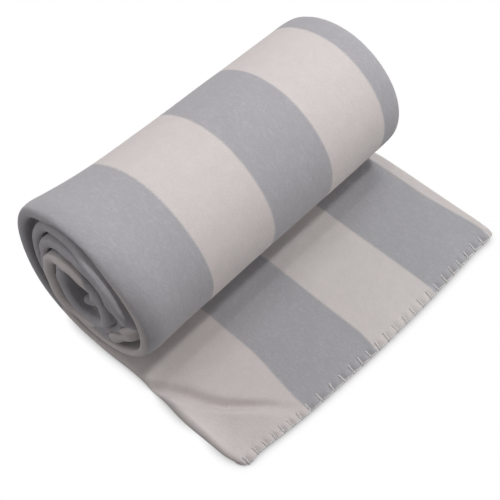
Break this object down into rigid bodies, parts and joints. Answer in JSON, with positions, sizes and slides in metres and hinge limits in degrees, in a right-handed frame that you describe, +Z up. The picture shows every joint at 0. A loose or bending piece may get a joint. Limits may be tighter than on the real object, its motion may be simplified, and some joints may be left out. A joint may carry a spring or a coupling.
{
  "type": "folded throw blanket",
  "caption": "Striped fleece throw, folded lengthwise and rolled up, with its blanket-stitched end lying flat as a flap.",
  "frame": {"origin": "on the flat underside, below the middle of the roll's axis", "axes": "+Z up, +Y along the roll towards the end with the two side folds of the cloth, +X out along the flap"},
  "size_m": [0.279, 0.3313, 0.1575],
  "materials": {
    "fleece": "matte",
    "thread": "matte"
  },
  "bodies": {
    "roll": {"fleece_roll": "fleece", "end_stitching_inner": "thread"},
    "flap_1": {"fleece_flap_1": "fleece"},
    "flap_2": {"fleece_flap_2": "fleece"},
    "flap_3": {"fleece_flap_3": "fleece"},
    "flap_4": {"fleece_flap_4": "fleece", "end_stitching_outer": "thread"}
  },
  "joints": [
    {"name": "flap_bend_1", "type": "hinge", "parent": "roll", "child": "flap_1", "pos_m": [0.036, 0, 0.0106], "axis": [0, -1, 0], "range_deg": [0, 26]},
    {"name": "flap_bend_2", "type": "hinge", "parent": "flap_1", "child": "flap_2", "pos_m": [0.076, 0, 0.0106], "axis": [0, -1, 0], "range_deg": [0, 26]},
    {"name": "flap_bend_3", "type": "hinge", "parent": "flap_2", "child": "flap_3", "pos_m": [0.116, 0, 0.0106], "axis": [0, -1, 0], "range_deg": [0, 26]},
    {"name": "flap_bend_4", "type": "hinge", "parent": "flap_3", "child": "flap_4", "pos_m": [0.156, 0, 0.0106], "axis": [0, -1, 0], "range_deg": [0, 26]}
  ],
  "couplings": [
    {"joint": "flap_bend_2", "follows": "flap_bend_1", "ratio": 1},
    {"joint": "flap_bend_3", "follows": "flap_bend_1", "ratio": 1},
    {"joint": "flap_bend_4", "follows": "flap_bend_1", "ratio": 1}
  ]
}
